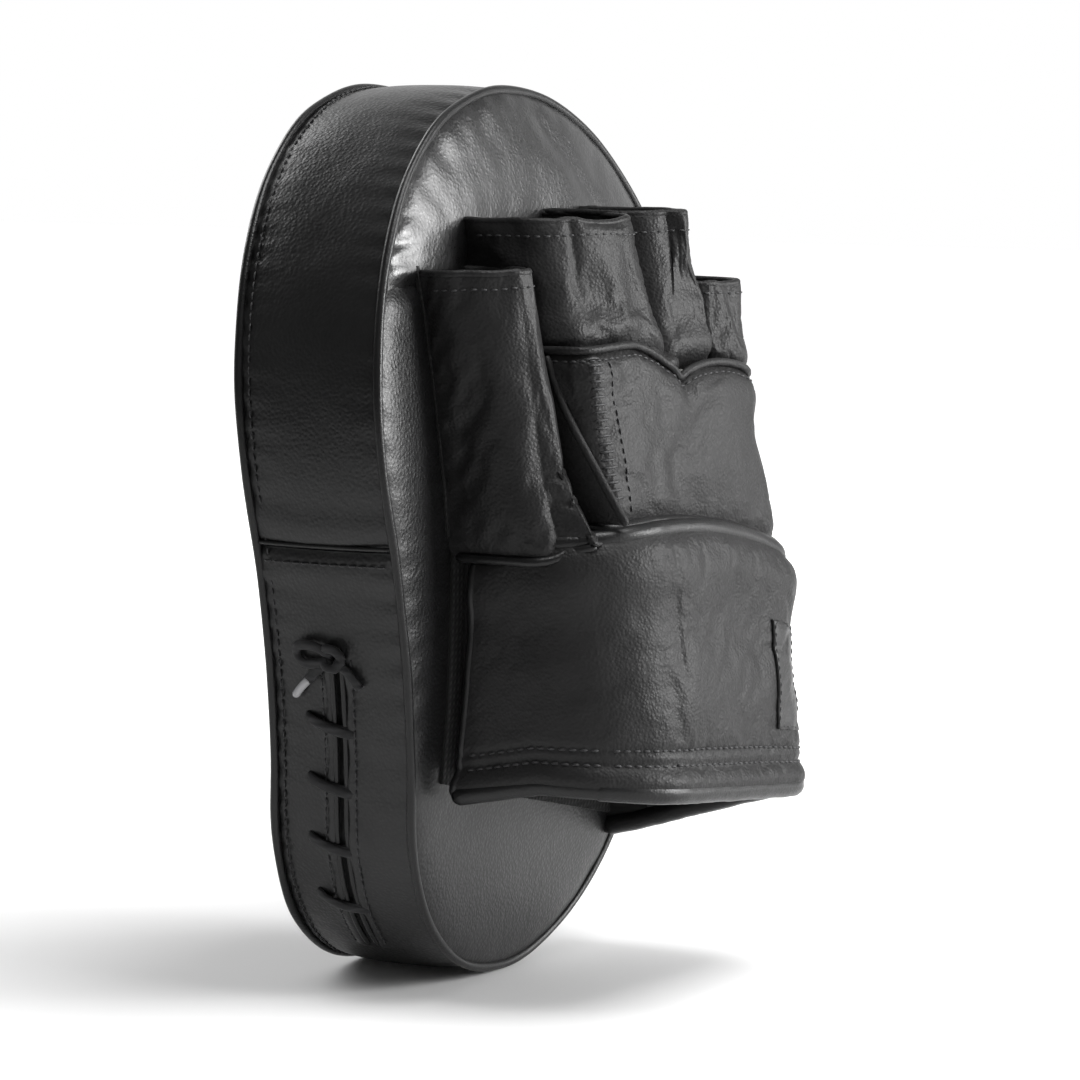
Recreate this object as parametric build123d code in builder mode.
"""Curved focus mitt for boxing training: a bowed foam pad in a leather cover, with a half-finger glove and a
hook-and-loop wrist strap sewn to its back.

Millimetres. +Z runs up the pad towards the fingertips, +Y points out of the striking face, and -X is the thumb
side of this right-hand mitt. The origin is the palm centre, on the back surface of the pad."""

import math
import os
from build123d import *

os.makedirs("parts", exist_ok=True)

# Pad: its outline, its bow and its layers, from the back surface towards the striking face.
pad_length = 270.0
head_radius = 94.0
foot_radius = 72.0
waist_radius = 380.0
pad_thickness = 51.0
bow_radius = 660.0
leather = 1.8
piping_height = 2.6
piping_proud = 1.2
board_thickness = 3.0
rear_foam_thickness = 14.0
core_foam_thickness = 14.0
foam_clearance = 0.2
tongue_thickness = 1.2
upper_panel_edge = 79.0
gusset_seam_level = 3.0
seam_tape_height = 6.0
seam_tape_thickness = 0.8

# Lacing on the thumb side of the lower gusset.
slit_top = -28.0
slit_bottom = -122.0
slit_near = 23.0
slit_width = 3.0
tongue_margin = 8.0
rung_count = 4
rung_first = -51.0
rung_pitch = 18.6
rung_drop = 3.6
rung_reach = 22.0
rung_width = 3.2
rung_thickness = 1.6
knot_size = 6.0
knot_level = -29.0
tip_length = 9.0
tip_diameter = 2.6

# Glove: everything behind the pad. Depths are measured out from the back surface.
palm_sheet = 1.2
palm_margin = 3.0
liner_edge = 1.0
lining = 1.2
finger_width = 23.5
finger_round = 8.5
hand_left = -42.0
knuckle_level = 60.0
knuckle_drop = 13.0
knuckle_depths = (34.0, 45.0)
pocket_fingers = (2, 1, 1)
pocket_tops = (98.5, 99.0, 77.0)
fingertip_depths = (22.0, 41.0)
binding_height = 3.0
binding_proud = 0.5
wrist_depths = (50.0, 56.0)
wrist_station = -16.0
wrist_flare = 4.5
hand_round = 14.0
knuckle_padding = 6.0
welt_height = 3.0
welt_proud = 1.0
grip_length = 70.0
grip_height = 24.0
grip_depth = 9.0
grip_level = 34.0

thumb_top = 84.0
thumb_bottom = 6.0
thumb_left_top = -69.0
thumb_left_bottom = -60.5
thumb_gap = 1.4
thumb_depths_top = (21.0, 22.0)
thumb_depths_bottom = (30.0, 38.0)
thumb_round = 8.0

# Wrist cuff and its hook-and-loop strap.
foot_margin = 14.0
cuff_depths_top = (53.5, 58.5)
cuff_depths_rim = (65.0, 66.5)
cuff_top_station = 8.0
cuff_rim_station = -100.0
cuff_round = 17.0
strap_padding_thickness = 3.0
rim_right = -81.0
rim_left = -68.0
rim_at_pad = -95.0
arch_apex = 7.5
arch_radius = 180.0
arch_shift = -25.0
rim_binding_height = 5.0
strap_gap = 0.9
hinge_depth = 46.0
tip_end_depth = 9.0
tip_top = 1.0
flap_height = 37.0
flap_gap = 0.6
patch = 1.0
patch_margin = 6.0
label_width = 15.0
label_height = 34.0
label_thickness = 0.7
label_left = 27.0
label_level = -42.0

# Worked out from the sizes above.
half_length = pad_length / 2
gusset_near = leather + piping_height
gusset_far = pad_thickness - leather - piping_height
foam_inset = leather + tongue_thickness + foam_clearance
board_far = leather + board_thickness
rear_far = board_far + rear_foam_thickness
core_far = rear_far + core_foam_thickness
finger_count = sum(pocket_fingers)
hand_right = hand_left + finger_count * finger_width
cuff_half_width = foot_radius - foot_margin
thumb_right = hand_left - thumb_gap
strap_thickness = leather + strap_padding_thickness + lining
reach = 2 * head_radius
arch_centre = arch_apex - arch_radius


def pad_outline(grow):
    """Centre and radius of the head, foot and waist arcs of the outline, each tangent to the next."""
    head, foot, waist = head_radius + grow, foot_radius + grow, waist_radius - grow
    head_centre, foot_centre = half_length - head_radius, foot_radius - half_length
    span = head_centre - foot_centre
    to_head, to_foot = head + waist, foot + waist
    above_foot = (to_foot**2 - to_head**2 + span**2) / (2 * span)
    waist_x = (to_foot**2 - above_foot**2) ** 0.5
    return (head_centre, head), (foot_centre, foot), (waist_x, foot_centre + above_foot, waist)


def pad_sketch(grow):
    """The pad's outline as seen from behind, grown or, if negative, shrunk."""
    (head_z, head), (foot_z, foot), (waist_x, waist_z, waist) = pad_outline(grow)
    to_head = Vector(-waist_x, head_z - waist_z).normalized()
    to_foot = Vector(-waist_x, foot_z - waist_z).normalized()
    centre = Vector(waist_x, waist_z)
    upper, lower = centre + to_head * waist, centre + to_foot * waist
    narrow = centre + (to_head + to_foot).normalized() * waist
    with BuildSketch() as sketch:
        with BuildLine():
            ThreePointArc((-upper.X, upper.Y), (0, head_z + head), (upper.X, upper.Y))
            ThreePointArc((upper.X, upper.Y), (narrow.X, narrow.Y), (lower.X, lower.Y))
            ThreePointArc((lower.X, lower.Y), (0, foot_z - foot), (-lower.X, lower.Y))
            ThreePointArc((-lower.X, lower.Y), (-narrow.X, narrow.Y), (-upper.X, upper.Y))
        make_face()
    return sketch.sketch


def bowed_slab(near, far):
    """The space between two depths inside the bowed pad, both measured from its back surface."""
    with BuildPart() as slab:
        with BuildSketch(Plane.YZ.offset(-reach)):
            with Locations((bow_radius, 0)):
                Circle(bow_radius - near)
                Circle(bow_radius - far, mode=Mode.SUBTRACT)
            with Locations((0, 0)):
                Rectangle(4 * pad_thickness, 1.4 * pad_length, mode=Mode.INTERSECT)
        extrude(amount=2 * reach)
    return slab.part


def ahead_of(depth):
    """Everything on the pad's side of a bowed surface that lies this far behind its back."""
    with BuildPart() as block:
        with BuildSketch(Plane.YZ.offset(-reach)):
            with Locations((bow_radius, 0)):
                Circle(bow_radius + depth)
        extrude(amount=2 * reach)
    return block.part


def pad_layer(near, far, grow=0.0, bore=None):
    """A bowed layer of the pad's outline. With bore, only the ring between the two outlines."""
    with BuildPart() as layer:
        with BuildSketch(Plane.XZ.offset(-2 * pad_thickness)):
            add(pad_sketch(grow))
            if bore is not None:
                add(pad_sketch(bore), mode=Mode.SUBTRACT)
        extrude(amount=3 * pad_thickness)
        add(bowed_slab(near, far), mode=Mode.INTERSECT)
    return layer.part


def block(x_range, y_range, z_range):
    """A plain box between its limits, used to cut or keep."""
    with BuildPart() as box:
        with BuildSketch(Plane.XY.offset(z_range[0])):
            with Locations(((x_range[0] + x_range[1]) / 2, (y_range[0] + y_range[1]) / 2)):
                Rectangle(x_range[1] - x_range[0], y_range[1] - y_range[0])
        extrude(amount=z_range[1] - z_range[0])
    return box.part


def channel(stations, round_radius, side=0.0, top=0.0):
    """A solid arch behind the pad, with its sides and its back inset, lofted through stations of
    (z, left, right, (depth at the left, depth at the right))."""
    with BuildPart() as arch:
        for z, left, right, depths in stations:
            width = right - left - 2 * side
            with BuildSketch(Plane.XY.offset(z)) as profile:
                with BuildLine():
                    Polyline(
                        (left + side, pad_thickness),
                        (left + side, top - depths[0]),
                        (right - side, top - depths[1]),
                        (right - side, pad_thickness),
                        close=True,
                    )
                make_face()
                outer = profile.vertices().sort_by(Axis.Y)[:2]
                fillet(outer, min(max(round_radius - side, 1.0), 0.45 * width))
        loft(ruled=True)
    return arch.part


def shell(stations, round_radius, start=(0.0, 0.0), end=(leather, leather), base=palm_sheet):
    """The wall between two insets of a channel, standing on the palm sheet."""
    with BuildPart() as wall:
        add(channel(stations, round_radius, *start))
        add(channel(stations, round_radius, *end), mode=Mode.SUBTRACT)
        add(ahead_of(base), mode=Mode.SUBTRACT)
    return wall.part


def save(piece, name):
    """Labels a finished piece and writes it."""
    piece.label = name
    export_step(piece, f"parts/{name}.step")


low, high = -pad_length, pad_length
knuckle_slope = knuckle_drop / (hand_right - hand_left)


def above_knuckles(raised):
    """Everything above the slanting knuckle line, raised by a distance."""
    with BuildPart() as upper:
        with BuildSketch(Plane.XZ.offset(-reach)):
            with BuildLine():
                Polyline(
                    (-reach, knuckle_level + raised + knuckle_slope * (reach + hand_left)),
                    (reach, knuckle_level + raised - knuckle_slope * (reach - hand_left)),
                    (reach, high),
                    (-reach, high),
                    close=True,
                )
            make_face()
        extrude(amount=2 * reach)
    return upper.part


behind = (-reach, 2 * pad_thickness)

# --- Pad cover -------------------------------------------------------------------------------------------------
with BuildPart() as face_panel:
    add(pad_layer(pad_thickness - leather, pad_thickness))
save(face_panel.part, "face_panel")

with BuildPart() as face_piping:
    add(pad_layer(gusset_far, pad_thickness - leather, piping_proud, -leather))
save(face_piping.part, "face_piping")

with BuildPart() as back_piping:
    add(pad_layer(leather, gusset_near, piping_proud, -leather))
save(back_piping.part, "back_piping")

with BuildPart() as upper_gusset:
    add(pad_layer(gusset_near, gusset_far, 0.0, -leather))
    split(bisect_by=Plane.XY.offset(gusset_seam_level), keep=Keep.TOP)
save(upper_gusset.part, "upper_gusset")

with BuildPart() as lower_gusset:
    add(pad_layer(gusset_near, gusset_far, 0.0, -leather))
    split(bisect_by=Plane.XY.offset(gusset_seam_level), keep=Keep.BOTTOM)
    with BuildPart(mode=Mode.PRIVATE) as slit:
        add(bowed_slab(slit_near, slit_near + slit_width))
        add(block((-reach, 0), behind, (slit_bottom, slit_top)), mode=Mode.INTERSECT)
    add(slit.part, mode=Mode.SUBTRACT)
save(lower_gusset.part, "lower_gusset")

with BuildPart() as gusset_seam_tape:
    add(pad_layer(gusset_near, gusset_far, seam_tape_thickness, 0.0))
    tape_low = gusset_seam_level - seam_tape_height / 2
    add(block((-reach, reach), behind, (tape_low, tape_low + seam_tape_height)), mode=Mode.INTERSECT)
save(gusset_seam_tape.part, "gusset_seam_tapes")

with BuildPart() as upper_back_panel:
    add(pad_layer(0, leather))
    split(bisect_by=Plane.XY.offset(upper_panel_edge), keep=Keep.TOP)
save(upper_back_panel.part, "upper_back_panel")

with BuildPart() as lower_back_panel:
    add(pad_layer(0, leather))
    split(bisect_by=Plane.XY.offset(upper_panel_edge), keep=Keep.BOTTOM)
save(lower_back_panel.part, "lower_back_panel")

# --- Pad core --------------------------------------------------------------------------------------------------
core_layers = {
    "backing_board": (leather, board_far),
    "rear_foam": (board_far, rear_far),
    "core_foam": (rear_far, core_far),
    "strike_foam": (core_far, pad_thickness - leather),
}
for layer_name, (layer_near, layer_far) in core_layers.items():
    with BuildPart() as core_layer:
        add(pad_layer(layer_near, layer_far, -foam_inset))
    save(core_layer.part, layer_name)

# --- Lacing ----------------------------------------------------------------------------------------------------
with BuildPart() as lace_tongue:
    slit_middle = slit_near + slit_width / 2
    add(pad_layer(slit_middle - tongue_margin, slit_middle + tongue_margin, -leather, -leather - tongue_thickness))
    add(block((-reach, 0), behind, (slit_bottom - 1, slit_top + tongue_margin)), mode=Mode.INTERSECT)
save(lace_tongue.part, "lace_tongue")

with BuildPart() as lace_rungs:
    add(pad_layer(slit_middle - rung_reach / 2, slit_middle + rung_reach / 2, rung_thickness, 0.0))
    with BuildPart(mode=Mode.PRIVATE) as rung_bands:
        rung_slope = rung_drop / rung_reach
        for i in range(rung_count):
            level = rung_first - i * rung_pitch
            with BuildSketch(Plane.YZ.offset(-reach)):
                with Locations(Location((slit_middle, level), math.degrees(math.atan(rung_slope)))):
                    Rectangle(4 * pad_thickness, rung_width)
            extrude(amount=reach)
    add(rung_bands.part, mode=Mode.INTERSECT)
save(lace_rungs.part, "lace_rungs")

with BuildPart() as lace_knot:
    add(pad_layer(slit_middle - knot_size / 2, slit_middle + knot_size / 2, knot_size / 2, 0.0))
    knot_low = knot_level - knot_size / 2
    add(block((-reach, 0), behind, (knot_low, knot_low + knot_size)), mode=Mode.INTERSECT)
save(lace_knot.part, "lace_knot")

with BuildPart() as lace_tip:
    tip_near = slit_middle + knot_size / 2
    add(pad_layer(tip_near, tip_near + tip_length, tip_diameter, 0.0))
    tip_low = knot_low + (knot_size - tip_diameter) / 2
    add(block((-reach, 0), behind, (tip_low, tip_low + tip_diameter)), mode=Mode.INTERSECT)
save(lace_tip.part, "lace_tip")

# --- Palm side of the glove ------------------------------------------------------------------------------------
# The liner follows the outline of the glove, a little proud of the walls that stand on it.
cuff_edge, pinky_edge = cuff_half_width + liner_edge, hand_right - finger_width + liner_edge
wrist_edge = max(cuff_edge, hand_right + wrist_flare + liner_edge)
with BuildPart() as glove_shadow:
    with BuildSketch(Plane.XZ):
        with BuildLine():
            Polyline(
                (cuff_edge, rim_at_pad - liner_edge),
                (wrist_edge, arch_apex),
                (hand_right + liner_edge, knuckle_level),
                (hand_right + liner_edge, pocket_tops[2] + liner_edge),
                (pinky_edge, pocket_tops[2] + liner_edge),
                (pinky_edge, pocket_tops[1] + liner_edge),
                (hand_left - liner_edge, pocket_tops[0] + liner_edge),
                (hand_left - liner_edge, thumb_top + liner_edge),
                (thumb_left_top - liner_edge, thumb_top + liner_edge),
                (thumb_left_bottom - liner_edge, thumb_bottom - liner_edge),
                (-cuff_edge, thumb_bottom - liner_edge),
                (-cuff_edge, rim_left - liner_edge),
                close=True,
            )
        make_face()
    extrude(amount=reach, both=True)

with BuildPart() as palm_sheet_part:
    add(pad_layer(-palm_sheet, 0, -palm_margin))
    add(glove_shadow.part, mode=Mode.INTERSECT)
save(palm_sheet_part.part, "palm_liner")

with BuildPart() as palm_grip:
    with BuildSketch(Plane.XZ.offset(-pad_thickness)):
        with Locations(((hand_left + hand_right) / 2, grip_level)):
            SlotOverall(grip_length, grip_height)
    extrude(amount=2 * pad_thickness)
    add(ahead_of(palm_sheet + grip_depth), mode=Mode.INTERSECT)
    add(ahead_of(palm_sheet), mode=Mode.SUBTRACT)
save(palm_grip.part, "palm_grip")

# --- Finger pockets --------------------------------------------------------------------------------------------
pocket_names = ("index_middle", "ring", "pinky")
knuckle_low = knuckle_level - knuckle_drop - welt_height
knuckle_high = knuckle_level + welt_height


def depths_between(depths, first, last):
    """The depths where the pocket of the first to the last finger starts and ends, on a line across the hand."""
    step = (depths[1] - depths[0]) / finger_count
    return depths[0] + first * step, depths[0] + last * step


first_finger = 0
for pocket, fingers, pocket_top in zip(pocket_names, pocket_fingers, pocket_tops):
    last_finger = first_finger + fingers
    left = hand_left + first_finger * finger_width
    right = hand_left + last_finger * finger_width
    stations = [
        (knuckle_low, left, right, depths_between(knuckle_depths, first_finger, last_finger)),
        (pocket_top, left, right, depths_between(fingertip_depths, first_finger, last_finger)),
    ]
    sleeve_wall = shell(stations, finger_round)
    binding_low = pocket_top - binding_height
    with BuildPart() as sleeve:
        add(sleeve_wall)
        add(above_knuckles(welt_height / 2), mode=Mode.INTERSECT)
        split(bisect_by=Plane.XY.offset(binding_low), keep=Keep.BOTTOM)
    save(sleeve.part, f"{pocket}_sleeve")
    with BuildPart() as binding:
        add(shell(stations, finger_round, (0.0, -binding_proud)))
        split(bisect_by=Plane.XY.offset(binding_low), keep=Keep.TOP)
    save(binding.part, f"{pocket}_binding")
    first_finger = last_finger

# --- Back of the hand ------------------------------------------------------------------------------------------
hand_stations = [
    (wrist_station, hand_left, hand_right + wrist_flare, wrist_depths),
    (knuckle_high, hand_left, hand_right, knuckle_depths),
]
welt_inner = arch_radius + strap_gap
welt_outer = welt_inner + welt_height


def arch_disc(radius):
    """Everything below the arched line that the strap's top edge follows, out to a radius."""
    with BuildPart() as disc:
        with BuildSketch(Plane.XZ):
            with Locations((arch_shift, arch_centre)):
                Circle(radius)
        extrude(amount=reach, both=True)
    return disc.part


hand_wall = shell(hand_stations, hand_round)
edge_left, edge_right = hand_left + hand_round / 2, hand_right - hand_round / 2
hand_pieces = {
    "thumb_side_wall": (hand_left - 1, edge_left),
    "hand_back_panel": (edge_left, edge_right),
    "pinky_side_wall": (edge_right, hand_right + wrist_flare + 1),
}
for piece_name, x_range in hand_pieces.items():
    with BuildPart() as hand_piece:
        add(hand_wall)
        add(above_knuckles(-welt_height / 2), mode=Mode.SUBTRACT)
        add(arch_disc(welt_outer), mode=Mode.SUBTRACT)
        add(block(x_range, behind, (low, high)), mode=Mode.INTERSECT)
    save(hand_piece.part, piece_name)

with BuildPart() as hand_back_padding:
    padding_inset = leather + knuckle_padding
    padding_reach = knuckle_depths[0] - hand_round
    add(shell(hand_stations, hand_round, (leather, leather), (leather, padding_inset)))
    add(above_knuckles(-welt_height / 2), mode=Mode.SUBTRACT)
    add(arch_disc(welt_outer), mode=Mode.SUBTRACT)
    add(block((edge_left, edge_right), (-reach, -padding_reach), (low, high)), mode=Mode.INTERSECT)
save(hand_back_padding.part, "hand_back_padding")

with BuildPart() as hand_back_lining:
    add(shell(hand_stations, hand_round, (leather, padding_inset), (leather + lining, padding_inset + lining)))
    add(above_knuckles(-welt_height / 2), mode=Mode.SUBTRACT)
    add(arch_disc(welt_outer), mode=Mode.SUBTRACT)
save(hand_back_lining.part, "hand_back_lining")

with BuildPart() as knuckle_welt:
    add(shell(hand_stations, hand_round, (0.0, -welt_proud), (leather, leather + 1)))
    add(above_knuckles(-welt_height / 2), mode=Mode.INTERSECT)
    add(above_knuckles(welt_height / 2), mode=Mode.SUBTRACT)
save(knuckle_welt.part, "knuckle_welt")

with BuildPart() as wrist_welt:
    add(shell(hand_stations, hand_round, (-welt_proud / 2, -welt_proud), (leather, leather + 1)))
    add(arch_disc(welt_outer), mode=Mode.INTERSECT)
    add(arch_disc(welt_inner), mode=Mode.SUBTRACT)
save(wrist_welt.part, "wrist_welt")

# --- Thumb sleeve ----------------------------------------------------------------------------------------------
thumb_stations = [
    (thumb_bottom, thumb_left_bottom, thumb_right, thumb_depths_bottom),
    (thumb_top, thumb_left_top, thumb_right, thumb_depths_top),
]
with BuildPart() as thumb_sleeve:
    add(shell(thumb_stations, thumb_round))
    split(bisect_by=Plane.XY.offset(thumb_top - binding_height), keep=Keep.BOTTOM)
save(thumb_sleeve.part, "thumb_sleeve")

with BuildPart() as thumb_binding:
    add(shell(thumb_stations, thumb_round, (0.0, -binding_proud)))
    split(bisect_by=Plane.XY.offset(thumb_top - binding_height), keep=Keep.TOP)
save(thumb_binding.part, "thumb_binding")

# --- Fixed walls of the cuff -----------------------------------------------------------------------------------
rim_slope = (rim_right - rim_at_pad) / hinge_depth


def side_wall(x_near, x_far, raise_rim, top_level):
    """A flat wall on the little-finger side, whose lower edge climbs away from the pad."""
    with BuildPart() as wall:
        with BuildSketch(Plane.YZ.offset(x_near)):
            with BuildLine():
                Polyline(
                    (pad_thickness, rim_at_pad + raise_rim - rim_slope * pad_thickness),
                    (-hinge_depth, rim_right + raise_rim),
                    (-hinge_depth, top_level),
                    (pad_thickness, top_level),
                    close=True,
                )
            make_face()
        extrude(amount=x_far - x_near)
        add(ahead_of(palm_sheet), mode=Mode.SUBTRACT)
    return wall.part


wall_top = arch_centre + (arch_radius**2 - (cuff_half_width - arch_shift) ** 2) ** 0.5 - strap_gap
wall_inner = cuff_half_width - strap_thickness
with BuildPart() as cuff_side_wall:
    add(side_wall(cuff_half_width - leather, cuff_half_width, rim_binding_height, wall_top))
save(cuff_side_wall.part, "cuff_side_wall")

with BuildPart() as cuff_side_padding:
    add(side_wall(wall_inner + lining, cuff_half_width - leather, rim_binding_height, wall_top))
save(cuff_side_padding.part, "cuff_side_padding")

with BuildPart() as cuff_side_lining:
    add(side_wall(wall_inner, wall_inner + lining, rim_binding_height, wall_top))
save(cuff_side_lining.part, "cuff_side_lining")

with BuildPart() as cuff_side_binding:
    add(side_wall(wall_inner, cuff_half_width, 0.0, wall_top))
    add(side_wall(wall_inner - 1, cuff_half_width + 1, rim_binding_height, wall_top + 1), mode=Mode.SUBTRACT)
save(cuff_side_binding.part, "cuff_side_binding")

tip_inner = -cuff_half_width + leather + lining
flap_outer = tip_inner + 2 * patch + flap_gap
flap_inner = flap_outer + leather + lining
with BuildPart() as cuff_inner_flap:
    add(block((flap_outer, flap_inner), (-flap_height, pad_thickness), (rim_left + 2, tip_top)))
    add(ahead_of(palm_sheet), mode=Mode.SUBTRACT)
save(cuff_inner_flap.part, "cuff_inner_flap")

patch_depths = (-flap_height + 2, -tip_end_depth - patch_margin)
patch_levels = (rim_left + rim_binding_height + patch_margin, tip_top - patch_margin)
with BuildPart() as loop_patch:
    add(block((flap_outer - patch, flap_outer), patch_depths, patch_levels))
save(loop_patch.part, "loop_patch")

# --- Wrist strap -----------------------------------------------------------------------------------------------
cuff_stations = [
    (cuff_rim_station, -cuff_half_width, cuff_half_width, cuff_depths_rim),
    (cuff_top_station, -cuff_half_width, cuff_half_width, cuff_depths_top),
]


def strap_outline(raise_rim, lower_arch, depth=reach):
    """The strap's shape as seen from behind, between its slanting rim and its arched top edge."""
    with BuildPart() as cut:
        with BuildSketch(Plane.XZ):
            with BuildLine():
                Polyline(
                    (-reach, rim_left + raise_rim - rim_fall * (reach - cuff_half_width)),
                    (reach, rim_right + raise_rim + rim_fall * (reach - cuff_half_width)),
                    (reach, high),
                    (-reach, high),
                    close=True,
                )
            make_face()
            with Locations((arch_shift, arch_centre)):
                Circle(arch_radius - lower_arch, mode=Mode.INTERSECT)
        extrude(amount=depth)
    return cut.part


rim_fall = (rim_right - rim_left) / (2 * cuff_half_width)


def strap_layer(start, end, raise_rim=rim_binding_height, lower_arch=welt_height, inner_rim=None):
    """A layer of the strap between two insets, beyond the depth of its hinge line."""
    with BuildPart() as layer:
        add(channel(cuff_stations, cuff_round, start, start))
        add(channel(cuff_stations, cuff_round, end, end), mode=Mode.SUBTRACT)
        beyond_hinge = (-reach, -hinge_depth - strap_gap)
        add(block((-reach, reach), beyond_hinge, (low, high)), mode=Mode.INTERSECT)
        add(strap_outline(raise_rim, lower_arch), mode=Mode.INTERSECT)
    return layer.part


padding_end = leather + strap_padding_thickness
with BuildPart() as strap_panel:
    add(strap_layer(0.0, leather))
save(strap_panel.part, "strap_panel")

with BuildPart() as strap_padding:
    add(strap_layer(leather, padding_end))
save(strap_padding.part, "strap_padding")

with BuildPart() as strap_lining:
    add(strap_layer(padding_end, strap_thickness))
save(strap_lining.part, "strap_lining")

with BuildPart() as strap_rim_binding:
    add(strap_layer(0.0, strap_thickness, raise_rim=0.0))
    add(strap_outline(rim_binding_height, -welt_height), mode=Mode.SUBTRACT)
save(strap_rim_binding.part, "strap_rim_binding")

with BuildPart() as strap_top_piping:
    add(strap_layer(0.0, strap_thickness, lower_arch=0.0))
    add(arch_disc(arch_radius - welt_height), mode=Mode.SUBTRACT)
save(strap_top_piping.part, "strap_top_piping")

with BuildPart() as strap_label:
    add(channel(cuff_stations, cuff_round, 0.0, -label_thickness))
    add(channel(cuff_stations, cuff_round), mode=Mode.SUBTRACT)
    label_x = (label_left, label_left + label_width)
    label_z = (label_level - label_height / 2, label_level + label_height / 2)
    add(block(label_x, (-reach, -hinge_depth), label_z), mode=Mode.INTERSECT)
save(strap_label.part, "strap_label")

# --- Strap tip -------------------------------------------------------------------------------------------------
tip_depths = (-hinge_depth, -tip_end_depth - binding_height)
tip_bottom = rim_left + strap_gap
with BuildPart() as tip_panel:
    add(block((-cuff_half_width, -cuff_half_width + leather), tip_depths, (tip_bottom, tip_top)))
save(tip_panel.part, "tip_panel")

with BuildPart() as tip_lining:
    add(block((-cuff_half_width + leather, tip_inner), tip_depths, (tip_bottom, tip_top)))
save(tip_lining.part, "tip_lining")

with BuildPart() as tip_binding:
    add(block((-cuff_half_width, tip_inner), (tip_depths[1], -tip_end_depth), (tip_bottom, tip_top)))
save(tip_binding.part, "tip_binding")

with BuildPart() as hook_patch:
    add(block((tip_inner, tip_inner + patch), patch_depths, patch_levels))
save(hook_patch.part, "hook_patch")
